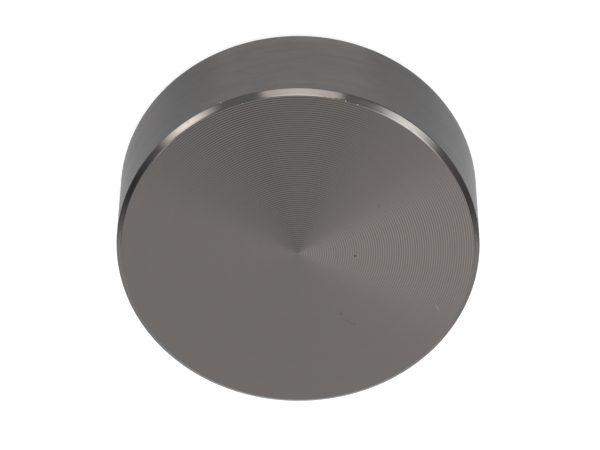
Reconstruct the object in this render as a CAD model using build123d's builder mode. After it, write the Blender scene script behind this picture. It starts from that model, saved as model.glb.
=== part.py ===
# Push-on control knob: a turned aluminium cap over a moulded core that grips a 6 mm D shaft.
# Millimetres. Z=0 is the plane of the back rim that the knob stands on, and +Z runs along the
# knob's axis towards its face. The shaft enters from below, with its flat on the +Y side.
from build123d import *
from math import radians, tan
import os

# Cap: turned cup with a drafted wall
face_diameter = 40.0          # at the outer edge of the bright cut
skirt_diameter = 41.0         # at the back, where the drafted wall is widest
height = 13.0
edge_cut = 0.6                # 45 degree bright cut round the face
rim_ease = 0.3                # eased outer corner of the back rim
wall_thickness = 1.5          # where the drafted wall is thinnest
face_thickness = 3.2
floor_corner = 0.5            # chamfer that the tool leaves between the bore and its floor
bore_ease = 0.4               # eased inner corner of the back rim

# Screws: M2 x 4 with pan heads, which hold the core to the cap
screw_diameter = 2.0
screw_length = 4.0
screw_tip_chamfer = 0.25
screw_head_diameter = 4.0
screw_head_height = 1.6
screw_head_round = 0.8
cross_length = 2.3
cross_width = 0.5
cross_depth = 0.8
screw_spacing = 24.0          # centre to centre, across the axis
screw_thread_clearance = 0.02
screw_tip_space = 0.4         # full-bore hole beyond the screw's end
drill_point_angle = 118.0

# Core: moulded plate with an outer wall, a hub and gussets
core_clearance = 0.15         # radial, between the outer wall and the cap's bore
locating_rib_clearance = 0.03
locating_rib_width = 1.2
plate_thickness = 2.0
outer_wall_thickness = 1.6
outer_wall_setback = 1.0      # from the back rim up to the wall's end
corner_relief = 0.7           # chamfer that clears the cap's floor corner
hub_root_diameter = 12.6
hub_end_diameter = 11.2
hub_setback = 2.0             # from the back rim up to the hub's mouth
hub_mouth_chamfer = 0.4
root_chamfer = 0.4            # where the hub and the outer wall meet the plate
gusset_count = 8
gusset_thickness = 1.2
gusset_height_at_wall = 4.4
gusset_to_groove = 0.3        # from the clip ring's groove up to the gussets' ends at the hub
gusset_overlap = 0.5          # how far a gusset's ends run into the hub and the wall
screw_pad_diameter = 5.6
screw_pad_height = 0.4
screw_hole_diameter = 2.3

# Shaft socket in the hub
shaft_diameter = 6.0
shaft_across_flat = 4.5
shaft_clearance = 0.03        # radial
socket_lead_in = 0.35
finger_slot_width = 1.2
finger_slot_length = 5.0

# Clip ring: band of spring steel in a groove round the fingers
clip_thickness = 0.5
clip_width = 2.5
clip_gap_angle = 40.0
clip_side_clearance = 0.1
clip_groove_depth = 0.6
clip_groove_setback = 0.9     # from the hub's mouth to the groove

# Places along the axis
floor_z = height - face_thickness
plate_z = floor_z - plate_thickness
screw_seat_z = plate_z - screw_pad_height
groove_z = hub_setback + clip_groove_setback
groove_top_z = groove_z + clip_width + 2 * clip_side_clearance
gusset_hub_z = groove_top_z + gusset_to_groove
gusset_wall_z = plate_z - gusset_height_at_wall

# Radii and places across the axis
face_radius = face_diameter / 2
skirt_radius = skirt_diameter / 2
cap_bore_radius = min(face_radius, skirt_radius) - wall_thickness
core_radius = cap_bore_radius - core_clearance
well_radius = core_radius - outer_wall_thickness
hub_root_radius = hub_root_diameter / 2
hub_end_radius = hub_end_diameter / 2
groove_radius = hub_end_radius - clip_groove_depth
clip_outer_radius = groove_radius + clip_thickness
screw_radius = screw_diameter / 2
tapped_hole_radius = screw_radius + screw_thread_clearance
screw_places = [(-screw_spacing / 2, 0), (screw_spacing / 2, 0)]
gusset_pitch = 360 / gusset_count
socket_radius = shaft_diameter / 2 + shaft_clearance
socket_flat_y = shaft_across_flat - shaft_diameter / 2 + shaft_clearance

# Tapped hole: one blind hole with a drill point, up from the floor of the cap's bore
tapped_hole_end = screw_seat_z + screw_length + screw_tip_space
drill_point_height = tapped_hole_radius / tan(radians(drill_point_angle / 2))
with BuildPart() as tapped_hole:
    with BuildSketch(Plane.XZ):
        with BuildLine():
            Polyline(
                (0, floor_z),
                (tapped_hole_radius, floor_z),
                (tapped_hole_radius, tapped_hole_end),
                (0, tapped_hole_end + drill_point_height),
                close=True,
            )
        make_face()
    revolve(axis=Axis.Z)

# Cap: the cup is turned, its corners are broken, and the two screw holes are drilled and tapped
with BuildPart() as cap:
    with BuildSketch(Plane.XZ):
        with BuildLine():
            Polyline(
                (0, height),
                (face_radius, height),
                (skirt_radius, 0),
                (cap_bore_radius, 0),
                (cap_bore_radius, floor_z),
                (0, floor_z),
                close=True,
            )
        make_face()
    revolve(axis=Axis.Z)
    corner_circles = cap.edges().filter_by(GeomType.CIRCLE).group_by(Axis.Z)
    rim_circles = corner_circles[0].sort_by(SortBy.RADIUS)
    chamfer(corner_circles[-1], edge_cut)
    chamfer(corner_circles[1], floor_corner)
    chamfer(rim_circles[-1], rim_ease)
    chamfer(rim_circles[0], bore_ease)
    with Locations(*screw_places):
        add(tapped_hole.part, mode=Mode.SUBTRACT)
cap.part.label = "cap"

# Gusset: one triangular web from the hub to the outer wall, drawn along +X
with BuildPart() as gusset:
    with BuildSketch(Plane.XZ):
        with BuildLine():
            Polyline(
                (hub_end_radius - gusset_overlap, plate_z),
                (well_radius + gusset_overlap, plate_z),
                (well_radius + gusset_overlap, gusset_wall_z),
                (well_radius, gusset_wall_z),
                (hub_root_radius, gusset_hub_z),
                (hub_end_radius - gusset_overlap, gusset_hub_z),
                close=True,
            )
        make_face()
    extrude(amount=gusset_thickness / 2, both=True)

# Core: plate and outer wall, drafted hub, gussets, ribs and pads, then the socket and its slots
with BuildPart() as core:
    with BuildSketch(Plane.XZ):
        with BuildLine():
            Polyline(
                (0, floor_z),
                (core_radius, floor_z),
                (core_radius, outer_wall_setback),
                (well_radius, outer_wall_setback),
                (well_radius, plate_z),
                (hub_root_radius, plate_z),
                (hub_end_radius, groove_top_z),
                (groove_radius, groove_top_z),
                (groove_radius, groove_z),
                (hub_end_radius, groove_z),
                (hub_end_radius, hub_setback),
                (0, hub_setback),
                close=True,
            )
        make_face()
    revolve(axis=Axis.Z)
    turned_circles = core.edges().filter_by(GeomType.CIRCLE).group_by(Axis.Z)
    chamfer(turned_circles[-1], corner_relief)
    chamfer(turned_circles[-2], root_chamfer)
    chamfer(turned_circles[1], hub_mouth_chamfer)

    # Gussets, and a locating rib on the outer wall at the end of each one
    with PolarLocations(0, gusset_count, start_angle=gusset_pitch / 2):
        add(gusset.part)
    with BuildSketch(Plane.XY.offset(outer_wall_setback)):
        Circle(cap_bore_radius - locating_rib_clearance)
        Circle(core_radius, mode=Mode.SUBTRACT)
        with PolarLocations(core_radius, gusset_count, start_angle=gusset_pitch / 2):
            Rectangle(2 * outer_wall_thickness, locating_rib_width, mode=Mode.INTERSECT)
    extrude(amount=floor_z - corner_relief - outer_wall_setback)

    # Screw pads and their clearance holes
    with BuildSketch(Plane.XY.offset(screw_seat_z)):
        with Locations(*screw_places):
            Circle(screw_pad_diameter / 2)
    extrude(amount=screw_pad_height)
    with BuildSketch(Plane.XY.offset(screw_seat_z)):
        with Locations(*screw_places):
            Circle(screw_hole_diameter / 2)
    extrude(amount=screw_pad_height + plate_thickness, mode=Mode.SUBTRACT)

    # D-shaped socket, from the hub's mouth up to the cap, with a lead-in at its mouth
    with BuildSketch(Plane.XY.offset(hub_setback)):
        Circle(socket_radius)
        with Locations((0, socket_flat_y)):
            Rectangle(2 * socket_radius, socket_radius, align=(Align.CENTER, Align.MIN), mode=Mode.SUBTRACT)
    extrude(amount=floor_z - hub_setback, mode=Mode.SUBTRACT)
    mouth_face = core.faces().filter_by(Plane.XY).sort_by(Axis.Z)[1]
    chamfer(mouth_face.inner_wires()[0].edges(), socket_lead_in)

    # Two slots beside the flat part the hub's end into two springy fingers
    with BuildSketch(Plane.YZ):
        with Locations((0, hub_setback)):
            Rectangle(
                finger_slot_width,
                finger_slot_length - finger_slot_width / 2,
                align=(Align.CENTER, Align.MIN),
            )
        with Locations((0, hub_setback + finger_slot_length - finger_slot_width / 2)):
            Circle(finger_slot_width / 2)
    extrude(amount=hub_root_radius, both=True, mode=Mode.SUBTRACT)
core.part.label = "core"

# Clip ring: an open band that lies on the bottom of the hub's groove, its gap opposite the flat
with BuildPart() as clip_ring:
    with BuildSketch(Plane.XY.offset(groove_z + clip_side_clearance)):
        Circle(clip_outer_radius)
        Circle(groove_radius, mode=Mode.SUBTRACT)
        with BuildLine():
            gap_sides = [
                PolarLine((0, 0), 2 * clip_outer_radius, -90 + side * clip_gap_angle / 2)
                for side in (-1, 1)
            ]
            Line(gap_sides[0] @ 1, gap_sides[1] @ 1)
        make_face(mode=Mode.SUBTRACT)
    extrude(amount=clip_width)
clip_ring.part.label = "clip_ring"

# Screw: one pan-head screw on the axis, its head below the seat and its thread pointing up
with BuildPart() as screw:
    with BuildSketch(Plane.XY.offset(screw_seat_z - screw_head_height)):
        Circle(screw_head_diameter / 2)
    extrude(amount=screw_head_height)
    fillet(screw.edges().group_by(Axis.Z)[0], screw_head_round)
    with BuildSketch(Plane.XY.offset(screw_seat_z)):
        Circle(screw_radius)
    extrude(amount=screw_length)
    chamfer(screw.edges().group_by(Axis.Z)[-1], screw_tip_chamfer)
    with BuildSketch(Plane.XY.offset(screw_seat_z - screw_head_height)):
        Rectangle(cross_length, cross_width)
        Rectangle(cross_width, cross_length)
    extrude(amount=cross_depth, mode=Mode.SUBTRACT)

# Cap screws: the same screw in both places
with BuildPart() as cap_screws:
    with Locations(*screw_places):
        add(screw.part)
cap_screws.part.label = "cap_screws"

os.makedirs("parts", exist_ok=True)
export_step(cap.part, "parts/cap.step")
export_step(core.part, "parts/core.step")
export_step(clip_ring.part, "parts/clip_ring.step")
export_step(cap_screws.part, "parts/cap_screws.step")
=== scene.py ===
import math

import bmesh
import bpy
from bpy.props import FloatProperty, FloatVectorProperty, IntProperty, PointerProperty
from mathutils import Matrix, Vector


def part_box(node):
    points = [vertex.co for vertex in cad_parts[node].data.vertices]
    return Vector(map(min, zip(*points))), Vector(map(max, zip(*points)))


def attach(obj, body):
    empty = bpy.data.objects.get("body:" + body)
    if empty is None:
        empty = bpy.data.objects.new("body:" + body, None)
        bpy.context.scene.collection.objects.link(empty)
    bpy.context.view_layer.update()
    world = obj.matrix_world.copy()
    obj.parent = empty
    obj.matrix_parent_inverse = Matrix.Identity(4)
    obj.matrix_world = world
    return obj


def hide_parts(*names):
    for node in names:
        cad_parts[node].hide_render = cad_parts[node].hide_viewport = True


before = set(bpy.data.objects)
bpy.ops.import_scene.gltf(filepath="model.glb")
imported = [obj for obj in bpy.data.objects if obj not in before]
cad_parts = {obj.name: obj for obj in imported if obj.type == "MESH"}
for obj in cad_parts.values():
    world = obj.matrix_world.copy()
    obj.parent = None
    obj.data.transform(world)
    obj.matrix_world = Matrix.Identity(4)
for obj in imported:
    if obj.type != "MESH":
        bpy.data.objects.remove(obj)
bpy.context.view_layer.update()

bl_info = {
    "name": "Turned Control Knob",
    "version": (1, 0, 0),
    "blender": (4, 5, 0),
    "location": "View3D > Sidebar > Knob",
    "description": "Push-on control knob: turned cap, moulded core, clip ring and screws",
    "category": "Object",
}

MM = 0.001
CAP_LOW, CAP_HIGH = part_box("cap")


# Settings


def length(name, description, default):
    return FloatProperty(
        name=name, description=description, default=default, min=0, precision=5,
        unit="LENGTH", subtype="DISTANCE",
    )


def colour(name, description, default):
    return FloatVectorProperty(
        name=name, description=description, default=default, min=0, max=1, size=3,
        subtype="COLOR",
    )


def share(name, description, default):
    return FloatProperty(
        name=name, description=description, default=default, min=0, max=1, subtype="FACTOR",
    )


class KnobCapSettings(bpy.types.PropertyGroup):
    face_diameter: length("Face Diameter", "Outer edge of the bright cut", 40 * MM)
    skirt_diameter: length("Skirt Diameter", "Widest place, at the back", 41 * MM)
    height: length("Height", "From the back rim to the face", CAP_HIGH.z - CAP_LOW.z)
    edge_cut: length("Edge Cut", "Width of the 45 degree cut round the face", 0.6 * MM)
    rim_ease: length("Rim Ease", "Eased outer corner of the back rim", 0.3 * MM)
    bore_ease: length("Bore Ease", "Eased inner corner of the back rim", 0.4 * MM)
    bore_diameter: length("Bore Diameter", "Inside of the cup", 37 * MM)
    floor_corner: length("Floor Corner", "Chamfer between the bore and its floor", 0.5 * MM)
    face_thickness: length("Face Thickness", "From the cup's floor to the face", 3.2 * MM)
    ring_pitch: length("Ring Pitch", "Distance from one turned ring to the next", 0.2563 * MM)
    ring_wall_share: share("Ring Wall Share", "Part of the pitch taken by the steep side", 0.3)
    ring_wall_tilt: FloatProperty(
        name="Ring Wall Tilt", description="Slope of each ring's steep side",
        default=math.radians(17), subtype="ANGLE", unit="ROTATION",
    )
    segments: IntProperty(name="Segments", description="Steps of the turning", default=256, min=48)
    metal: colour("Anodised Metal", "Dyed aluminium at normal incidence", (0.12, 0.1095, 0.1035))
    face_roughness: share("Face Roughness", "Roughness of the turned face", 0.16)
    wall_roughness: share("Wall Roughness", "Roughness of the brushed wall", 0.3)
    edge_roughness: share("Edge Roughness", "Roughness of the bright-cut edge", 0.07)


class KnobCoreSettings(bpy.types.PropertyGroup):
    corner_ease: length("Corner Ease", "Rounding of the moulded corners", 0.06 * MM)
    plate_height: length("Plate Height", "Underside of the plate, above the back rim", 7.8 * MM)


class KnobClipSettings(bpy.types.PropertyGroup):
    thickness: length("Thickness", "Thickness of the band", 0.5 * MM)
    corner_ease: length("Corner Ease", "Rounding of the band's edges", 0.09 * MM)
    gap_angle: FloatProperty(
        name="Gap Angle", description="Opening of the ring", default=math.radians(40),
        subtype="ANGLE", unit="ROTATION",
    )


class KnobScrewSettings(bpy.types.PropertyGroup):
    spacing: length("Spacing", "Centre to centre, across the axis", 24 * MM)
    thread_diameter: length("Thread Diameter", "Outside of the thread", 2 * MM)
    thread_root_diameter: length("Thread Root Diameter", "Bottom of the thread", 1.54 * MM)
    thread_pitch: length("Thread Pitch", "Rise of each turn", 0.4 * MM)
    head_diameter: length("Head Diameter", "Across the pan head", 4 * MM)
    head_height: length("Head Height", "Height of the pan head", 1.6 * MM)
    head_round: length("Head Round", "Rounding of the head's edge", 0.8 * MM)
    cross_length: length("Cross Length", "Across the cross recess", 2.3 * MM)
    cross_width: length("Cross Width", "Width of each wing of the recess", 0.5 * MM)
    cross_depth: length("Cross Depth", "Depth of the recess", 0.8 * MM)


class KnobStudioSettings(bpy.types.PropertyGroup):
    floor_size: length("Floor Size", "Side of the square floor", 3.0)
    floor_colour: colour("Floor Colour", "Plain pale floor", (0.84, 0.84, 0.84))
    floor_glow: FloatProperty(
        name="Floor Glow", description="Light that comes up through the table's top",
        default=0.27, min=0,
    )
    lens: FloatProperty(name="Lens", description="Focal length", default=125.1, unit="CAMERA")


# Node helpers


def plug(tree, socket, value):
    """Links another node's output to a socket, or gives the socket a plain value."""
    if isinstance(value, bpy.types.NodeSocket):
        tree.links.new(value, socket)
    else:
        socket.default_value = value


def add_node(tree, kind, inputs=None, **values):
    node = tree.nodes.new(kind)
    for name, value in values.items():
        setattr(node, name, value)
    for socket, value in (inputs or {}).items():
        plug(tree, node.inputs[socket], value)
    return node


def maths(tree, operation, *values, clamp=False):
    node = add_node(tree, "ShaderNodeMath", dict(enumerate(values)), operation=operation)
    node.use_clamp = clamp
    return node.outputs[0]


def vector_maths(tree, operation, *values, output=0):
    node = add_node(tree, "ShaderNodeVectorMath", dict(enumerate(values)), operation=operation)
    return node.outputs[output]


def times(tree, vector, factor):
    node = add_node(
        tree, "ShaderNodeVectorMath", {0: vector, "Scale": factor}, operation="SCALE",
    )
    return node.outputs[0]


def map_range(tree, value, low, high, to_low=0.0, to_high=1.0, smooth=True):
    node = add_node(
        tree, "ShaderNodeMapRange",
        {0: value, 1: low, 2: high, 3: to_low, 4: to_high},
        interpolation_type="SMOOTHSTEP" if smooth else "LINEAR",
    )
    return node.outputs[0]


def mix_colour(tree, factor, first, second):
    node = add_node(tree, "ShaderNodeMix", {0: factor, 6: first, 7: second}, data_type="RGBA")
    return node.outputs[2]


def noise(tree, vector, scale, detail=2.0, roughness=0.5):
    node = add_node(
        tree, "ShaderNodeTexNoise",
        {"Vector": vector, "Scale": scale, "Detail": detail, "Roughness": roughness},
    )
    return node.outputs["Fac"]


def scaled(tree, vector, scale):
    return add_node(tree, "ShaderNodeMapping", {"Vector": vector, "Scale": scale}).outputs[0]


def object_coordinates(tree):
    return add_node(tree, "ShaderNodeTexCoord").outputs["Object"]


def flattened(tree, vector):
    return vector_maths(tree, "MULTIPLY", vector, (1, 1, 0))


def distance_from_axis(tree, vector):
    return vector_maths(tree, "LENGTH", flattened(tree, vector), output="Value")


def bump(tree, height, strength, depth):
    node = add_node(
        tree, "ShaderNodeBump", {"Strength": strength, "Distance": depth, "Height": height},
    )
    return node.outputs[0]


def lobe(tree, direction, towards, inner, outer):
    """1 within the inner angle of a direction and 0 beyond the outer one, in degrees."""
    dot = vector_maths(tree, "DOT_PRODUCT", direction, Vector(towards).normalized(), output="Value")
    angle = maths(tree, "ARCCOSINE", dot)
    return map_range(tree, angle, math.radians(outer), math.radians(inner))


def from_angles(azimuth, elevation=0):
    """A direction: degrees round from the camera's side to the view's right, and degrees up."""
    turn, rise = math.radians(azimuth), math.radians(elevation)
    level = math.cos(rise)
    return (-math.sin(turn) * level, -math.cos(turn) * level, math.sin(rise))


def tinted(base, *factors):
    """A colour with its channels scaled, by one factor or by one for each channel."""
    red, green, blue = factors if len(factors) == 3 else factors * 3
    return (base[0] * red, base[1] * green, base[2] * blue, 1)


def new_group(name, inputs, outputs):
    """A shader node group with named float or vector sockets, and its input and output nodes."""
    group = bpy.data.node_groups.new(name, "ShaderNodeTree")
    for socket, (kind, default) in inputs.items():
        item = group.interface.new_socket(name=socket, in_out="INPUT", socket_type=kind)
        if default is not None:
            item.default_value = default
    for socket, kind in outputs.items():
        group.interface.new_socket(name=socket, in_out="OUTPUT", socket_type=kind)
    return group, group.nodes.new("NodeGroupInput"), group.nodes.new("NodeGroupOutput")


def built_once(build):
    """Makes the node group of the function's name when it is first asked for."""
    def group():
        return bpy.data.node_groups.get(build.__name__) or build(build.__name__)
    return group


def set_inputs(tree, node, **inputs):
    """Plugs values into sockets that are named with underscores for their spaces."""
    for name, value in inputs.items():
        plug(tree, node.inputs[name.replace("_", " ")], value)


def use_group(tree, group, **inputs):
    node = add_node(tree, "ShaderNodeGroup", node_tree=group)
    set_inputs(tree, node, **inputs)
    return node


def new_material(name):
    material = bpy.data.materials.new(name)
    material.use_nodes = True
    tree = material.node_tree
    tree.nodes.clear()
    output = tree.nodes.new("ShaderNodeOutputMaterial")
    shader = tree.nodes.new("ShaderNodeBsdfPrincipled")
    tree.links.new(shader.outputs[0], output.inputs["Surface"])
    return material, tree, shader


# Shared effects


@built_once
def turning_marks(name):
    """Fine tool marks in circles round the axis, as a height, and their broader tone."""
    group, source, result = new_group(
        name,
        {"Vector": ("NodeSocketVector", None), "Fineness": ("NodeSocketFloat", 20000.0)},
        {"Height": "NodeSocketFloat", "Tone": "NodeSocketFloat"},
    )
    radius = distance_from_axis(group, source.outputs["Vector"])
    along = scaled(group, source.outputs["Vector"], (60, 60, 60))
    across = maths(group, "MULTIPLY", radius, source.outputs["Fineness"])
    place = add_node(group, "ShaderNodeCombineXYZ", {0: across}).outputs[0]
    fine = noise(group, vector_maths(group, "ADD", along, place), 1.0, 3.0, 0.6)
    broad = noise(group, vector_maths(group, "MULTIPLY", place, (0.06, 0, 0)), 1.0, 2.0, 0.6)
    group.links.new(fine, result.inputs["Height"])
    group.links.new(broad, result.inputs["Tone"])
    return group


@built_once
def brushed_lines(name):
    """Long fine lines that run round the wall, as a height, and their broader tone."""
    group, source, result = new_group(
        name,
        {"Vector": ("NodeSocketVector", None), "Fineness": ("NodeSocketFloat", 14000.0)},
        {"Height": "NodeSocketFloat", "Tone": "NodeSocketFloat"},
    )
    parts = add_node(group, "ShaderNodeSeparateXYZ", {0: source.outputs["Vector"]})
    lift = maths(group, "MULTIPLY", parts.outputs["Z"], source.outputs["Fineness"])
    around = scaled(group, source.outputs["Vector"], (170, 170, 0))
    upright = add_node(group, "ShaderNodeCombineXYZ", {2: lift}).outputs[0]
    place = vector_maths(group, "ADD", around, upright)
    fine = noise(group, place, 1.0, 3.0, 0.65)
    tone = noise(group, vector_maths(group, "MULTIPLY", place, (0.5, 0.5, 0.3)), 1.0, 3.0, 0.6)
    group.links.new(fine, result.inputs["Height"])
    group.links.new(tone, result.inputs["Tone"])
    return group


@built_once
def small_mark(name):
    """One small oval mark on the surface, 1 inside and 0 outside."""
    group, source, result = new_group(
        name,
        {
            "Vector": ("NodeSocketVector", None),
            "Centre": ("NodeSocketVector", None),
            "Turn": ("NodeSocketVector", None),
            "Half Size": ("NodeSocketVector", (0.0001, 0.0001, 0.0001)),
        },
        {"Mask": "NodeSocketFloat"},
    )
    offset = vector_maths(group, "SUBTRACT", source.outputs["Vector"], source.outputs["Centre"])
    turned = add_node(
        group, "ShaderNodeVectorRotate", {"Vector": offset, "Rotation": source.outputs["Turn"]},
        rotation_type="EULER_XYZ", invert=True,
    ).outputs[0]
    size = vector_maths(group, "DIVIDE", turned, source.outputs["Half Size"])
    reach = vector_maths(group, "LENGTH", size, output="Value")
    group.links.new(map_range(group, reach, 1.0, 0.5), result.inputs["Mask"])
    return group


@built_once
def edge_line(name):
    """A thin broken line at one radius, used here for a painted highlight and for a dark line along
    a corner.
    """
    group, source, result = new_group(
        name,
        {
            "Vector": ("NodeSocketVector", None),
            "Radius": ("NodeSocketFloat", 0.02),
            "Half Width": ("NodeSocketFloat", 0.00005),
        },
        {"Mask": "NodeSocketFloat"},
    )
    flat = flattened(group, source.outputs["Vector"])
    radius = distance_from_axis(group, source.outputs["Vector"])
    away = maths(group, "ABSOLUTE", maths(group, "SUBTRACT", radius, source.outputs["Radius"]))
    near = maths(group, "DIVIDE", away, source.outputs["Half Width"])
    line = map_range(group, near, 1.0, 0.6)
    broken = map_range(group, noise(group, flat, 700.0, 2.0, 0.6), 0.25, 0.5, 0.55, 1.0)
    group.links.new(maths(group, "MULTIPLY", line, broken), result.inputs["Mask"])
    return group


# Materials of the cap

GRAZING_TINT = (0.63, 0.645, 0.67, 1)
# Dark tone of the grime marks on the face, and of the painted shade in the cut's outer line
GRIME_AND_PAINTED_SHADE = (0.03, 0.028, 0.027, 1)
NICK_FLOOR = (0.035, 0.033, 0.032, 1)
SCRATCHED_METAL = (0.35, 0.33, 0.31, 1)
# Colour of the painted highlight along the cut's inner corner
PAINTED_HIGHLIGHT_METAL = (0.38, 0.37, 0.355, 1)
SPECK_METAL = (0.6, 0.58, 0.55, 1)

# Small marks on the face and on the cut: centre, turn and half sizes, in millimetres and degrees
FACE_MARKS = {
    "pit": ((-6.29, 0.19), 0, (0.21, 0.17)),
}
FAINT_FACE_MARKS = {
    "spot": ((-8.77, -6.03), 0, (0.13, 0.13)),
    "scuff_start": ((-4.8, 7.74), 0, (0.22, 0.2)),
    "scuff": ((-5.75, 8.8), 53, (0.08, 0.7)),
    "scuff_end": ((-6.38, 9.15), 0, (0.2, 0.2)),
}
BRIGHT_FACE_MARKS = {
    "speck": ((7.44, -13.0), 0, (0.08, 0.08)),
    "scratch": ((-15.59, 6.92), 23, (0.07, 0.42)),
}
EDGE_SPECKS = {
    "outer": ((8.25, -18.25), 0, (0.09, 0.09)),
    "left": ((5.94, -18.4), 0, (0.07, 0.07)),
    "right": ((-6.22, -18.35), 0, (0.08, 0.08)),
    "nick_end": ((-4.95, -18.78), 0, (0.07, 0.05)),
}
EDGE_NICKS = {
    "first": ((-2.75, -19.24), 6, (0.16, 0.06)),
    "second": ((-3.3, -19.16), 9, (0.1, 0.05)),
    "third": ((-3.95, -19.03), 12, (0.14, 0.07)),
    "fourth": ((-4.5, -18.92), 14, (0.09, 0.05)),
    "left": ((13.1, -14.35), -42, (0.12, 0.05)),
    "far": ((-17.6, -8.25), 65, (0.1, 0.05)),
}


def marks(tree, coordinates, table):
    """All the marks of a table, as one mask."""
    total = None
    for centre, turn, half_size in table.values():
        mask = use_group(
            tree, small_mark(),
            Vector=coordinates,
            Centre=(centre[0] * MM, centre[1] * MM, CAP_HIGH.z),
            Turn=(0, 0, math.radians(turn)),
            Half_Size=(half_size[0] * MM, half_size[1] * MM, 3 * MM),
        ).outputs["Mask"]
        total = mask if total is None else maths(tree, "MAXIMUM", total, mask)
    return total


def paint(tree, tone, mask, strength, coat):
    """A coat laid over a tone where a mask says, at a part of its full strength."""
    return mix_colour(tree, maths(tree, "MULTIPLY", mask, strength), tone, coat)


def between(tree, tone, low, high):
    """The middle of a noise, spread over a range from low to high."""
    return map_range(tree, tone, 0.3, 0.7, low, high, smooth=False)


def spun_face_material(settings):
    material, tree, shader = new_material("anodised_spun_face")
    coordinates = object_coordinates(tree)
    turning = use_group(tree, turning_marks(), Vector=coordinates, Fineness=22000.0)
    smudge = noise(tree, coordinates, 130.0, 3.0, 0.55)
    tone = mix_colour(
        tree, map_range(tree, turning.outputs["Tone"], 0.35, 0.65),
        tinted(settings.metal, 1.0), tinted(settings.metal, 0.98),
    )
    tone = paint(tree, tone, marks(tree, coordinates, FACE_MARKS), 0.8, GRIME_AND_PAINTED_SHADE)
    tone = paint(tree, tone, marks(tree, coordinates, FAINT_FACE_MARKS), 0.34, GRIME_AND_PAINTED_SHADE)
    tone = paint(tree, tone, marks(tree, coordinates, BRIGHT_FACE_MARKS), 0.34, SCRATCHED_METAL)
    roughness = settings.face_roughness
    set_inputs(
        tree, shader, Base_Color=tone, Metallic=1.0, Specular_Tint=GRAZING_TINT,
        Roughness=between(tree, smudge, roughness - 0.01, roughness + 0.02),
        Normal=bump(tree, turning.outputs["Height"], 0.25, 0.004 * MM),
    )
    return material


def brushed_wall_material(settings):
    material, tree, shader = new_material("anodised_brushed_wall")
    coordinates = object_coordinates(tree)
    lines = use_group(tree, brushed_lines(), Vector=coordinates, Fineness=15000.0)
    tone = mix_colour(
        tree, map_range(tree, lines.outputs["Tone"], 0.3, 0.7),
        tinted(settings.metal, 0.98, 0.985, 0.955), tinted(settings.metal, 1.13, 1.12, 1.08),
    )
    lift = add_node(tree, "ShaderNodeSeparateXYZ", {0: coordinates}).outputs["Z"]
    # Painted light: the wall's tone is made lighter towards the back rim, a little from 7 mm down
    # and more over the last 2.4 mm
    painted_rim_light = maths(
        tree, "ADD", map_range(tree, lift, 7 * MM, 1 * MM, 0.0, 0.17),
        map_range(tree, lift, 2.4 * MM, 0.2 * MM, 0.0, 0.3),
    )
    tone = mix_colour(tree, painted_rim_light, tone, tinted(settings.metal, 2.0))
    around = vector_maths(tree, "NORMALIZE", flattened(tree, coordinates))
    # Painted shade: two darker patches round the axis, at 36 and -37 degrees, added to the random
    # smudges
    painted_shade_patches = maths(
        tree, "MAXIMUM",
        lobe(tree, around, from_angles(36), 4, 20), lobe(tree, around, from_angles(-37), 2, 17),
    )
    smudge = noise(tree, scaled(tree, coordinates, (0.8, 0.8, 2.2)), 360.0, 4.0, 0.65)
    smudge = map_range(tree, smudge, 0.42, 0.62, 0.0, 0.36)
    smudge_and_painted_shade = maths(tree, "ADD", smudge, painted_shade_patches, clamp=True)
    tone = paint(tree, tone, smudge_and_painted_shade, 0.7, tinted(settings.metal, 0.775, 0.82, 0.82))
    roughness = settings.wall_roughness
    upright = add_node(tree, "ShaderNodeTangent", direction_type="RADIAL", axis="Z")
    set_inputs(
        tree, shader, Base_Color=tone, Metallic=1.0, Specular_Tint=GRAZING_TINT,
        Roughness=between(tree, lines.outputs["Tone"], roughness - 0.04, roughness + 0.06),
        Normal=bump(tree, lines.outputs["Height"], 0.6, 0.006 * MM),
        Tangent=upright.outputs[0], Anisotropic=0.55, Anisotropic_Rotation=0.25,
    )
    return material


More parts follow.
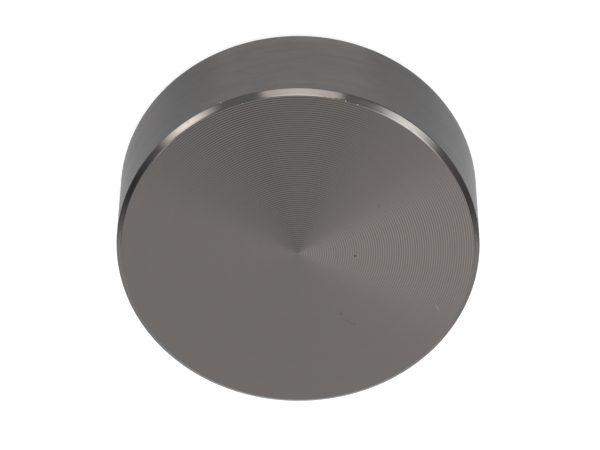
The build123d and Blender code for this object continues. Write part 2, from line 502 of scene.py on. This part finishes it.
def bright_edge_material(settings):
    material, tree, shader = new_material("bright_cut_edge")
    coordinates = object_coordinates(tree)
    lines = use_group(tree, brushed_lines(), Vector=coordinates, Fineness=15000.0)
    grime = noise(tree, coordinates, 900.0, 3.0, 0.6)
    duller = tinted(settings.metal, 0.8)
    tone = mix_colour(
        tree, map_range(tree, grime, 0.55, 0.75), tinted(settings.metal, 1.0), duller,
    )
    streaks = map_range(tree, lines.outputs["Tone"], 0.3, 0.62, 0.35, 0.0)
    tone = mix_colour(tree, streaks, tone, duller)
    specks = marks(tree, coordinates, EDGE_SPECKS)
    tone = paint(tree, tone, marks(tree, coordinates, EDGE_NICKS), 0.7, NICK_FLOOR)
    tone = paint(tree, tone, specks, 0.8, SPECK_METAL)
    around = vector_maths(tree, "NORMALIZE", flattened(tree, coordinates))
    face_radius = settings.face_diameter / 2
    # Painted highlight: a bright thin line at the cut's inner corner, at 37 degrees round the axis
    # and fainter at -48
    inner = use_group(
        tree, edge_line(), Vector=coordinates, Half_Width=0.08 * MM,
        Radius=face_radius - settings.edge_cut + 0.005 * MM,
    ).outputs["Mask"]
    painted_highlight_lobes = maths(
        tree, "MAXIMUM",
        lobe(tree, around, from_angles(37), 5, 21),
        maths(tree, "MULTIPLY", lobe(tree, around, from_angles(-48), 2, 7), 0.35),
    )
    tone = paint(tree, tone, inner, painted_highlight_lobes, PAINTED_HIGHLIGHT_METAL)
    # The cut's outer corner: a faint dark line all round, deepened by painted shade in a lobe at 38
    # degrees round the axis
    outer = use_group(
        tree, edge_line(), Vector=coordinates, Half_Width=0.075 * MM,
        Radius=face_radius + 0.015 * MM,
    ).outputs["Mask"]
    painted_shade_lobe = maths(tree, "MULTIPLY", lobe(tree, around, from_angles(38), 10, 26), 0.6)
    tone = paint(tree, tone, outer, maths(tree, "ADD", painted_shade_lobe, 0.25), GRIME_AND_PAINTED_SHADE)
    roughness = map_range(
        tree, grime, 0.4, 0.75,
        settings.edge_roughness - 0.02, settings.edge_roughness + 0.06, smooth=False,
    )
    set_inputs(
        tree, shader, Base_Color=tone, Metallic=1.0, Specular_Tint=GRAZING_TINT,
        Roughness=maths(tree, "ADD", roughness, maths(tree, "MULTIPLY", specks, 0.4)),
        Normal=bump(tree, lines.outputs["Height"], 0.3, 0.003 * MM),
    )
    return material


def turned_inside_material(settings):
    material, tree, shader = new_material("anodised_turned_inside")
    coordinates = object_coordinates(tree)
    lines = use_group(tree, brushed_lines(), Vector=coordinates, Fineness=6000.0)
    tone = mix_colour(
        tree, map_range(tree, lines.outputs["Tone"], 0.3, 0.7),
        tinted(settings.metal, 0.9), tinted(settings.metal, 1.15),
    )
    set_inputs(
        tree, shader, Base_Color=tone, Metallic=1.0,
        Roughness=map_range(tree, lines.outputs["Tone"], 0.3, 0.7, 0.32, 0.45),
        Normal=bump(tree, lines.outputs["Height"], 0.8, 0.015 * MM),
    )
    return material


# The cap's mesh

CUT_CROWN = 0.003 * MM
CUT_CORNER_ROUND = 0.05 * MM
RIM_CORNER_ROUND = 0.04 * MM
TAPPED_HOLE_RADIUS = 1.02 * MM
TAPPED_HOLE_END = 11.8 * MM
DRILL_POINT_TIP = 12.41 * MM
MERGE_DISTANCE = 1e-7
# Steps of a full turn for holes, pins and rods
SMALL_ROUND_STEPS = 32
# The order of the cap's materials
SPUN_FACE, BRIGHT_CUT, BRUSHED_WALL, INSIDE = range(4)


def ring_section(settings):
    """Points of the turned face, from its centre out: one crest and one valley for each ring."""
    top = settings.height
    flat_radius = settings.face_diameter / 2 - settings.edge_cut
    wall_width = settings.ring_pitch * settings.ring_wall_share
    depth = wall_width * math.tan(settings.ring_wall_tilt)
    points = [(0.0, top - depth)]
    ring_count = int(flat_radius / settings.ring_pitch)
    for ring in range(ring_count, 0, -1):
        crest = flat_radius - ring * settings.ring_pitch
        points.append((crest, top))
        points.append((crest + wall_width, top - depth))
    points.append((flat_radius, top))
    return points


def cup_section(settings):
    """Points of the bright cut, wall, back rim and bore, on to the edge of the bore's floor."""
    face_radius = settings.face_diameter / 2
    skirt_radius = settings.skirt_diameter / 2
    draft = (skirt_radius - face_radius) / settings.height
    bore_radius = settings.bore_diameter / 2
    floor_z = settings.height - settings.face_thickness
    third = settings.edge_cut / 3
    return [
        (face_radius - 2 * third + CUT_CROWN, settings.height - third + CUT_CROWN),
        (face_radius - third + CUT_CROWN, settings.height - 2 * third + CUT_CROWN),
        (face_radius + draft * settings.edge_cut, settings.height - settings.edge_cut),
        (skirt_radius - draft * settings.rim_ease, settings.rim_ease),
        (skirt_radius - settings.rim_ease, 0.0),
        (bore_radius + settings.bore_ease, 0.0),
        (bore_radius, settings.bore_ease),
        (bore_radius, floor_z - settings.floor_corner),
        (bore_radius - settings.floor_corner, floor_z),
    ]


def spin_section(bm, points, segments, centre=(0, 0, 0)):
    """Turns a chain of (radius, height) points full circle round an upright axis."""
    centre = Vector(centre)
    chain = [bm.verts.new(centre + Vector((radius, 0, height))) for radius, height in points]
    edges = [bm.edges.new(pair) for pair in zip(chain, chain[1:])]
    bmesh.ops.spin(
        bm, geom=chain + edges, cent=centre, axis=(0, 0, 1), dvec=(0, 0, 0),
        angle=math.tau, steps=segments, use_merge=True, use_duplicate=False,
    )


def radius_of(point):
    return math.hypot(point.x, point.y)


def is_ring_edge(edge):
    """True for an edge that runs round the axis, and not along the section."""
    first, second = (vert.co for vert in edge.verts)
    level = abs(first.z - second.z) < MERGE_DISTANCE
    return level and abs(radius_of(first) - radius_of(second)) < MERGE_DISTANCE


def edges_at(bm, height):
    return [
        edge for edge in bm.edges
        if all(abs(vert.co.z - height) < MERGE_DISTANCE for vert in edge.verts)
    ]


def round_edges(bm, edges, size, segments):
    bmesh.ops.bevel(
        bm, geom=edges, offset=size, offset_type="OFFSET", affect="EDGES",
        segments=segments, profile=0.5, material=-1,
    )


def finish_piece(bm, name, materials):
    """Makes the piece's object from its bmesh, and hangs it under the root body."""
    mesh = bpy.data.meshes.new(name)
    bm.to_mesh(mesh)
    bm.free()
    for material in materials:
        mesh.materials.append(material)
    piece = bpy.data.objects.new(name, mesh)
    bpy.context.scene.collection.objects.link(piece)
    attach(piece, "root")
    return piece


class KNOB_OT_turned_cap(bpy.types.Operator):
    """Turns the cap with its spun face, bright-cut edge, brushed wall and bore"""

    bl_idname = "knob.turned_cap"
    bl_label = "Turned Cap"
    bl_options = {"REGISTER", "UNDO"}

    def execute(self, context):
        settings = context.scene.knob_cap
        bm = bmesh.new()
        spin_section(bm, ring_section(settings) + cup_section(settings), settings.segments)
        self.add_tapped_holes(bm, settings, context.scene.knob_screws.spacing)
        bmesh.ops.remove_doubles(bm, verts=bm.verts, dist=MERGE_DISTANCE)
        floor_outline = [edge for edge in bm.edges if edge.is_boundary]
        bmesh.ops.triangle_fill(
            bm, use_beauty=True, use_dissolve=False, edges=floor_outline, normal=(0, 0, -1),
        )
        bmesh.ops.recalc_face_normals(bm, faces=bm.faces)
        self.break_corners(bm, settings)
        self.choose_materials(bm, settings)
        self.shade(bm, settings)
        piece = finish_piece(
            bm, "turned_cap",
            [
                spun_face_material(settings), bright_edge_material(settings),
                brushed_wall_material(settings), turned_inside_material(settings),
            ],
        )
        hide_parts("cap")
        return {"FINISHED"}

    def add_tapped_holes(self, bm, settings, spacing):
        floor_z = settings.height - settings.face_thickness
        section = [
            (TAPPED_HOLE_RADIUS, floor_z), (TAPPED_HOLE_RADIUS, TAPPED_HOLE_END),
            (0.0, DRILL_POINT_TIP),
        ]
        for side in (-1, 1):
            centre = (side * spacing / 2, 0, 0)
            spin_section(bm, section, SMALL_ROUND_STEPS, centre=centre)

    def break_corners(self, bm, settings):
        """Rounds each corner a little: the bright cut's two, then those of the back rim."""
        flat_radius = settings.face_diameter / 2 - settings.edge_cut
        inside = settings.bore_diameter / 2 - 0.1 * MM
        cut_foot = settings.height - settings.edge_cut - 0.01 * MM
        near = 0.001 * MM
        for size, beyond, low, high in (
            (CUT_CORNER_ROUND, flat_radius - near, settings.height - near, math.inf),
            (CUT_CORNER_ROUND, flat_radius + 0.3 * MM, cut_foot, math.inf),
            (RIM_CORNER_ROUND, inside, -math.inf, 1 * MM),
        ):
            corners = [
                edge for edge in bm.edges
                if is_ring_edge(edge) and edge.calc_face_angle(0) > math.radians(25)
                and radius_of(edge.verts[0].co) > beyond and low < edge.verts[0].co.z < high
            ]
            round_edges(bm, corners, size, 3)

    def choose_materials(self, bm, settings):
        """Gives each face the material of the surface that it lies on."""
        spun_radius = settings.face_diameter / 2 - settings.edge_cut - 0.06 * MM
        spun_z = settings.height - 0.1 * MM
        cut_z = settings.height - settings.edge_cut - 0.045 * MM
        bore_wall = settings.bore_diameter / 2 + 0.01 * MM
        for face in bm.faces:
            centre = face.calc_center_median()
            radius = radius_of(centre)
            faces_out = face.normal.xy.dot(centre.xy) > 0 and abs(face.normal.z) < 0.6
            if radius < spun_radius and centre.z > spun_z:
                face.material_index = SPUN_FACE
            elif radius > bore_wall and centre.z > cut_z:
                face.material_index = BRIGHT_CUT
            elif radius > bore_wall and faces_out:
                face.material_index = BRUSHED_WALL
            else:
                face.material_index = INSIDE

    def shade(self, bm, settings):
        """Smooth shading round the axis and over the rounded cut. Every other corner is sharp."""
        cut_z = settings.height - 1 * MM
        for face in bm.faces:
            face.smooth = True
        for edge in bm.edges:
            angle = math.degrees(edge.calc_face_angle(0))
            rounded = 10 < angle < 20 and edge.verts[0].co.z > cut_z
            edge.smooth = angle < 5 or rounded


# The pieces inside the cap


def plastic_material():
    material, tree, shader = new_material("black_moulded_plastic")
    coordinates = object_coordinates(tree)
    texture = noise(tree, coordinates, 9000.0, 3.0, 0.6)
    flow = noise(tree, scaled(tree, coordinates, (1, 1, 0.4)), 260.0, 3.0, 0.55)
    tone = mix_colour(
        tree, map_range(tree, flow, 0.35, 0.7), (0.017, 0.017, 0.018, 1), (0.03, 0.03, 0.031, 1),
    )
    set_inputs(
        tree, shader, Base_Color=tone, IOR=1.5,
        Roughness=map_range(tree, flow, 0.3, 0.7, 0.42, 0.56),
        Normal=bump(tree, texture, 0.45, 0.02 * MM),
    )
    return material


def spring_steel_material():
    material, tree, shader = new_material("tempered_spring_steel")
    coordinates = object_coordinates(tree)
    lines = use_group(tree, brushed_lines(), Vector=coordinates, Fineness=12000.0)
    heat = noise(tree, coordinates, 320.0, 2.0, 0.5)
    tone = mix_colour(
        tree, map_range(tree, lines.outputs["Tone"], 0.3, 0.7),
        (0.40, 0.39, 0.37, 1), (0.54, 0.53, 0.51, 1),
    )
    tone = mix_colour(tree, map_range(tree, heat, 0.55, 0.8, 0.0, 0.5), tone, (0.36, 0.33, 0.27, 1))
    set_inputs(
        tree, shader, Base_Color=tone, Metallic=1.0,
        Roughness=map_range(tree, lines.outputs["Tone"], 0.3, 0.7, 0.24, 0.36),
        Normal=bump(tree, lines.outputs["Height"], 0.5, 0.006 * MM),
    )
    return material


def zinc_material():
    material, tree, shader = new_material("zinc_plated_steel")
    coordinates = object_coordinates(tree)
    mottle = noise(tree, coordinates, 1500.0, 3.0, 0.6)
    bloom = noise(tree, coordinates, 420.0, 2.0, 0.5)
    tone = mix_colour(
        tree, map_range(tree, mottle, 0.35, 0.65), (0.58, 0.60, 0.62, 1), (0.72, 0.73, 0.74, 1),
    )
    tone = mix_colour(tree, map_range(tree, bloom, 0.5, 0.8, 0.0, 0.6), tone, (0.62, 0.60, 0.52, 1))
    set_inputs(
        tree, shader, Base_Color=tone, Metallic=1.0,
        Roughness=map_range(tree, mottle, 0.3, 0.7, 0.2, 0.32),
        Normal=bump(tree, mottle, 0.3, 0.008 * MM),
    )
    return material


def copy_of_node(name):
    """A bmesh copy of a node, its loose triangles joined and its flat faces made whole."""
    bm = bmesh.new()
    bm.from_mesh(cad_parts[name].data)
    bmesh.ops.remove_doubles(bm, verts=bm.verts, dist=2e-7)
    bmesh.ops.dissolve_limit(
        bm, angle_limit=math.radians(0.5), use_dissolve_boundaries=False,
        verts=bm.verts, edges=bm.edges, delimit={"NORMAL"},
    )
    return bm


def join_and_cut(solid, cutter):
    """Joins the overlapping shells of one bmesh and cuts another out of them. Gives back a mesh."""
    made = []
    for name, bm in (("solid", solid), ("cutter", cutter)):
        mesh = bpy.data.meshes.new(name)
        bm.to_mesh(mesh)
        bm.free()
        made.append(bpy.data.objects.new(name, mesh))
        bpy.context.scene.collection.objects.link(made[-1])
    cut = made[0].modifiers.new("cut", "BOOLEAN")
    cut.operation = "DIFFERENCE"
    cut.solver = "EXACT"
    cut.use_self = True
    cut.object = made[1]
    graph = bpy.context.evaluated_depsgraph_get()
    result = bpy.data.meshes.new_from_object(made[0].evaluated_get(graph))
    for spare in made:
        mesh = spare.data
        bpy.data.objects.remove(spare)
        bpy.data.meshes.remove(mesh)
    return result


def shade_by_angle(bm, degrees):
    """Smooth faces, with an edge kept sharp where its faces meet at more than this angle."""
    for face in bm.faces:
        face.smooth = True
    for edge in bm.edges:
        edge.smooth = edge.calc_face_angle(0) < math.radians(degrees)


def round_sharp_edges(bm, size, segments, within=math.inf):
    """Rounds the corners that lie nearer to the axis than a radius."""
    corners = [
        edge for edge in bm.edges
        if edge.calc_face_angle(0) > math.radians(28)
        and all(radius_of(vert.co) < within for vert in edge.verts)
    ]
    round_edges(bm, corners, size, segments)


EJECTOR_CIRCLE_RADIUS = 12.4 * MM
EJECTOR_RADIUS = 1.02 * MM
EJECTOR_END_RADIUS = 0.98 * MM
EJECTOR_LENGTH = 0.1 * MM
# Eighths of a turn: the screw pads have the places at 0 and 4
EJECTOR_PLACES = (1, 2, 3, 5, 6, 7)


class KNOB_OT_moulded_core(bpy.types.Operator):
    """Finishes the moulded core: eased corners, ejector marks and black plastic"""

    bl_idname = "knob.moulded_core"
    bl_label = "Moulded Core"
    bl_options = {"REGISTER", "UNDO"}

    def execute(self, context):
        settings = context.scene.knob_core
        bm = copy_of_node("core")
        core_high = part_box("core")[1]
        round_sharp_edges(bm, settings.corner_ease, 2, within=core_high.x - 0.2 * MM)
        pins = bmesh.new()
        for step in EJECTOR_PLACES:
            turn = Matrix.Rotation(step * math.tau / 8, 4, "Z")
            shift = Matrix.Translation((EJECTOR_CIRCLE_RADIUS, 0, settings.plate_height))
            bmesh.ops.create_cone(
                pins, cap_ends=True, segments=SMALL_ROUND_STEPS, radius1=EJECTOR_RADIUS,
                radius2=EJECTOR_END_RADIUS, depth=EJECTOR_LENGTH, matrix=turn @ shift,
            )
        marked = join_and_cut(bm, pins)
        bm = bmesh.new()
        bm.from_mesh(marked)
        bpy.data.meshes.remove(marked)
        shade_by_angle(bm, 32)
        piece = finish_piece(bm, "moulded_core", [plastic_material()])
        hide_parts("core")
        return {"FINISHED"}


BAND_STEPS = 112


class KNOB_OT_clip_ring(bpy.types.Operator):
    """Bends the open spring band that closes the hub's fingers on the shaft"""

    bl_idname = "knob.clip_ring"
    bl_label = "Clip Ring"
    bl_options = {"REGISTER", "UNDO"}

    def execute(self, context):
        settings = context.scene.knob_clip
        low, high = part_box("clip_ring")
        outer = high.y
        inner = outer - settings.thickness
        gap = settings.gap_angle
        bm = bmesh.new()
        start = Matrix.Rotation(-math.pi / 2 + gap / 2, 4, "Z")
        corners = [
            bm.verts.new(start @ Vector((radius, 0, height)))
            for radius, height in (
                (inner, low.z), (outer, low.z), (outer, high.z), (inner, high.z),
            )
        ]
        face = bm.faces.new(corners)
        bmesh.ops.spin(
            bm, geom=[face, *face.edges, *face.verts], cent=(0, 0, 0), axis=(0, 0, 1),
            dvec=(0, 0, 0), angle=math.tau - gap, steps=BAND_STEPS, use_duplicate=False,
        )
        bmesh.ops.recalc_face_normals(bm, faces=bm.faces)
        round_sharp_edges(bm, settings.corner_ease, 3)
        shade_by_angle(bm, 40)
        piece = finish_piece(bm, "spring_clip_ring", [spring_steel_material()])
        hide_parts("clip_ring")
        return {"FINISHED"}


HEAD_STEPS = 64
HEAD_SEAT_ROUND = 0.06 * MM
# Size of the cross's wings at the bottom of the recess, as parts of their size at its mouth
WING_LENGTH_SHARE = 0.5
WING_WIDTH_SHARE = 0.75
TIP_CHAMFER = 0.2 * MM
# How far the rod starts inside the head, and the ridge inside the rod
ROD_OVERLAP = 0.2 * MM
RIDGE_OVERLAP = 0.05 * MM
# From the seat to the thread's start, and from its end to the screw's tip
THREAD_START = 0.03 * MM
THREAD_END = 0.25 * MM
THREAD_STEPS_PER_TURN = 24
# Turns of the two screws when they are tight, in degrees
SCREW_TURNS = {-1: 24, 1: 71}


class KNOB_OT_cap_screws(bpy.types.Operator):
    """Makes the two pan-head screws, with their cross recesses and threads"""

    bl_idname = "knob.cap_screws"
    bl_label = "Cap Screws"
    bl_options = {"REGISTER", "UNDO"}

    def execute(self, context):
        settings = context.scene.knob_screws
        low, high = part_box("cap_screws")
        seat = low.z + settings.head_height
        solid = bmesh.new()
        self.add_head(solid, settings, low.z)
        self.add_shank(solid, settings, seat, high.z)
        screw = join_and_cut(solid, self.cross_cutter(settings, low.z))
        bm = bmesh.new()
        for side, turn in SCREW_TURNS.items():
            place = Matrix.Translation((side * settings.spacing / 2, 0, 0))
            turned = screw.copy()
            turned.transform(place @ Matrix.Rotation(math.radians(turn), 4, "Z"))
            bm.from_mesh(turned)
            bpy.data.meshes.remove(turned)
        bpy.data.meshes.remove(screw)
        shade_by_angle(bm, 35)
        piece = finish_piece(bm, "pan_head_screws", [zinc_material()])
        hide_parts("cap_screws")
        return {"FINISHED"}

    def add_head(self, bm, settings, bottom):
        radius = settings.head_diameter / 2
        bmesh.ops.create_cone(
            bm, cap_ends=True, segments=HEAD_STEPS, radius1=radius, radius2=radius,
            depth=settings.head_height,
            matrix=Matrix.Translation((0, 0, bottom + settings.head_height / 2)),
        )
        for height, size, segments in (
            (bottom, settings.head_round, 8),
            (bottom + settings.head_height, HEAD_SEAT_ROUND, 2),
        ):
            round_edges(bm, edges_at(bm, height), size, segments)

    def cross_cutter(self, settings, bottom):
        """Two crossed bars that narrow towards the bottom of the recess."""
        bm = bmesh.new()
        for quarter in (0, math.pi / 2):
            bar = bmesh.ops.create_cube(bm, size=1)["verts"]
            for vert in bar:
                deep = vert.co.z > 0
                vert.co.x *= settings.cross_length * (WING_LENGTH_SHARE if deep else 1)
                vert.co.y *= settings.cross_width * (WING_WIDTH_SHARE if deep else 1)
                vert.co.z = bottom + (settings.cross_depth if deep else -0.2 * MM)
            bmesh.ops.rotate(
                bm, verts=bar, cent=(0, 0, 0), matrix=Matrix.Rotation(quarter, 3, "Z"),
            )
        return bm

    def add_shank(self, bm, settings, seat, tip):
        """A rod with a helical ridge round it, from inside the head up to the tip."""
        root = settings.thread_root_diameter / 2
        major = settings.thread_diameter / 2
        foot = seat - ROD_OVERLAP
        bmesh.ops.create_cone(
            bm, cap_ends=True, segments=SMALL_ROUND_STEPS, radius1=root, radius2=root,
            depth=tip - foot, matrix=Matrix.Translation((0, 0, (tip + foot) / 2)),
        )
        round_edges(bm, edges_at(bm, tip), TIP_CHAMFER, 1)
        pitch = settings.thread_pitch
        start = seat + THREAD_START
        turns = (tip - THREAD_END - start - pitch) / pitch
        steps = round(THREAD_STEPS_PER_TURN * turns)
        buried = root - RIDGE_OVERLAP
        rod_and_head = set(bm.faces)
        # Corners of the ridge's section, with their heights as parts of the pitch
        ridge = [
            bm.verts.new((radius, 0, start + rise * pitch))
            for radius, rise in ((buried, 0), (buried, 0.85), (major, 0.49), (major, 0.36))
        ]
        face = bm.faces.new(ridge)
        bmesh.ops.spin(
            bm, geom=[face, *face.edges, *face.verts], cent=(0, 0, 0), axis=(0, 0, 1),
            dvec=(0, 0, pitch * turns / steps), angle=math.tau * turns, steps=steps,
            use_duplicate=False,
        )
        thread = [face for face in bm.faces if face not in rod_and_head]
        bmesh.ops.recalc_face_normals(bm, faces=thread)


# The stage

# The camera's place and axes, fitted to the outlines of the face, the cut and the wall
CAMERA_PLACE = Vector((-0.000196, -0.11687, 0.21058))
CAMERA_RIGHT = Vector((-1.0, -0.0044, -0.0025))
CAMERA_UP = Vector((0.0051, -0.8677, -0.4971))

# Soft dark screens: towards, inner and outer angle in degrees, and the part of the light taken
SHADES = (
    ((0.0, -0.25, 0.97), 12, 26, 0.35),
    ((0.4, -0.05, 0.91), 10, 24, 0.36),
    (from_angles(-95, 8), 0, 32, 0.8),
    (from_angles(99.5, 10.5), 0, 31, 0.73),
)
# Soft panels: towards, inner and outer angle in degrees, the light added, and its colour
PANELS = (
    ((-0.6, 0.45, 0.62), 14, 29, 1.08, (1.0, 0.99, 0.965)),
    ((0.2, 0.45, 0.87), 5, 20, 0.17, (1.0, 0.99, 0.965)),
    ((0.0, -0.64, 0.77), 8, 22, 3.6, (1.0, 0.99, 0.965)),
    (from_angles(1.5, 27), 14.5, 20.3, 2.75, (1.02, 0.98, 0.91)),
    (from_angles(1.5, 27), 2, 15, 0.85, (1.02, 0.98, 0.91)),
    (from_angles(-56.5, 20), 0, 18.3, 7.0, (1.0, 1.0, 0.95)),
    (from_angles(55, 20), 0, 21.0, 5.7, (0.98, 1.02, 0.99)),
    (from_angles(33, 24), 1, 5, 0.3, (0.9, 1.0, 1.2)),
)
LIGHT_STRENGTH = 0.88
# The sky's level on the camera's side and on the far side, and its colour where it is dim
SKY_NEAR, SKY_FAR = 0.9, 1.5
DIM_SKY = (0.93, 0.965, 1.05, 1)
BACKDROP = (0.93, 0.935, 0.94, 1)
WHITE = (1, 1, 1, 1)


class KNOB_OT_studio(bpy.types.Operator):
    """Makes the pale floor, the soft studio light and the camera"""

    bl_idname = "knob.studio"
    bl_label = "Studio"
    bl_options = {"REGISTER", "UNDO"}

    def execute(self, context):
        settings = context.scene.knob_studio
        self.make_floor(context, settings)
        self.make_light(context)
        self.make_camera(context, settings)
        context.scene.view_settings.view_transform = "Standard"
        return {"FINISHED"}

    def make_floor(self, context, settings):
        bm = bmesh.new()
        bmesh.ops.create_grid(bm, x_segments=1, y_segments=1, size=settings.floor_size / 2)
        mesh = bpy.data.meshes.new("floor")
        bm.to_mesh(mesh)
        bm.free()
        floor = bpy.data.objects.new("floor", mesh)
        context.scene.collection.objects.link(floor)
        material, tree, shader = new_material("pale_floor")
        mottle = noise(tree, object_coordinates(tree), 6.0, 2.0, 0.5)
        tone = mix_colour(
            tree, mottle, tinted(settings.floor_colour, 1.0), tinted(settings.floor_colour, 0.985),
        )
        set_inputs(
            tree, shader, Base_Color=tone, Roughness=0.9, Specular_IOR_Level=0.0,
            Emission_Color=WHITE, Emission_Strength=settings.floor_glow,
        )
        mesh.materials.append(material)

    def make_light(self, context):
        world = bpy.data.worlds.new("soft_studio")
        context.scene.world = world
        world.use_nodes = True
        tree = world.node_tree
        tree.nodes.clear()
        direction = add_node(tree, "ShaderNodeTexCoord").outputs["Generated"]
        parts = add_node(tree, "ShaderNodeSeparateXYZ", {0: direction})
        level = map_range(tree, parts.outputs["Y"], -0.15, 0.2, SKY_NEAR, SKY_FAR)
        for towards, inner, outer, part in SHADES:
            shade = maths(tree, "MULTIPLY", lobe(tree, direction, towards, inner, outer), part)
            level = maths(tree, "MULTIPLY", level, maths(tree, "SUBTRACT", 1.0, shade))
        tint = mix_colour(tree, map_range(tree, level, 0.6, 1.3), DIM_SKY, WHITE)
        light = times(tree, tint, level)
        for towards, inner, outer, strength, hue in PANELS:
            full = tuple(strength * channel for channel in hue)
            panel = times(tree, full, lobe(tree, direction, towards, inner, outer))
            light = vector_maths(tree, "ADD", light, panel)
        sky = add_node(
            tree, "ShaderNodeBackground", {"Color": light, "Strength": LIGHT_STRENGTH},
        )
        backdrop = add_node(tree, "ShaderNodeBackground", {"Color": BACKDROP, "Strength": 1.0})
        seen = add_node(tree, "ShaderNodeLightPath").outputs["Is Camera Ray"]
        mix = add_node(
            tree, "ShaderNodeMixShader", {0: seen, 1: sky.outputs[0], 2: backdrop.outputs[0]},
        )
        add_node(tree, "ShaderNodeOutputWorld", {"Surface": mix.outputs[0]})

    def make_camera(self, context, settings):
        """Makes the camera, which looks down on the face from the near side."""
        data = bpy.data.cameras.new("camera")
        data.lens = settings.lens
        data.sensor_width = 36
        data.sensor_fit = "HORIZONTAL"
        data.clip_start = 0.01
        data.clip_end = 20
        camera = bpy.data.objects.new("camera", data)
        right = CAMERA_RIGHT.normalized()
        back = right.cross(CAMERA_UP).normalized()
        up = back.cross(right)
        turn = Matrix((right, up, back)).transposed().to_4x4()
        camera.matrix_world = Matrix.Translation(CAMERA_PLACE) @ turn
        context.scene.collection.objects.link(camera)
        context.scene.camera = camera


class KNOB_PT_panel(bpy.types.Panel):
    """Lists the knob's pieces and its studio"""

    bl_label = "Control Knob"
    bl_idname = "KNOB_PT_panel"
    bl_space_type = "VIEW_3D"
    bl_region_type = "UI"
    bl_category = "Knob"

    def draw(self, context):
        layout = self.layout
        for operator in OPERATORS:
            layout.operator(operator.bl_idname)
        for name, group in SETTINGS.items():
            box = layout.box()
            box.label(text=name.replace("knob_", "").title())
            for setting in group.__annotations__:
                box.prop(getattr(context.scene, name), setting)


OPERATORS = (
    KNOB_OT_turned_cap,
    KNOB_OT_moulded_core,
    KNOB_OT_clip_ring,
    KNOB_OT_cap_screws,
    KNOB_OT_studio,
)
SETTINGS = {
    "knob_cap": KnobCapSettings,
    "knob_core": KnobCoreSettings,
    "knob_clip": KnobClipSettings,
    "knob_screws": KnobScrewSettings,
    "knob_studio": KnobStudioSettings,
}
CLASSES = (*SETTINGS.values(), *OPERATORS, KNOB_PT_panel)


def register():
    for cls in CLASSES:
        bpy.utils.register_class(cls)
    for name, group in SETTINGS.items():
        setattr(bpy.types.Scene, name, PointerProperty(type=group))


def unregister():
    for name in SETTINGS:
        delattr(bpy.types.Scene, name)
    for cls in reversed(CLASSES):
        bpy.utils.unregister_class(cls)


def main():
    register()
    bpy.ops.knob.turned_cap()
    bpy.ops.knob.moulded_core()
    bpy.ops.knob.clip_ring()
    bpy.ops.knob.cap_screws()
    bpy.ops.knob.studio()


if __name__ == "__main__":
    main()
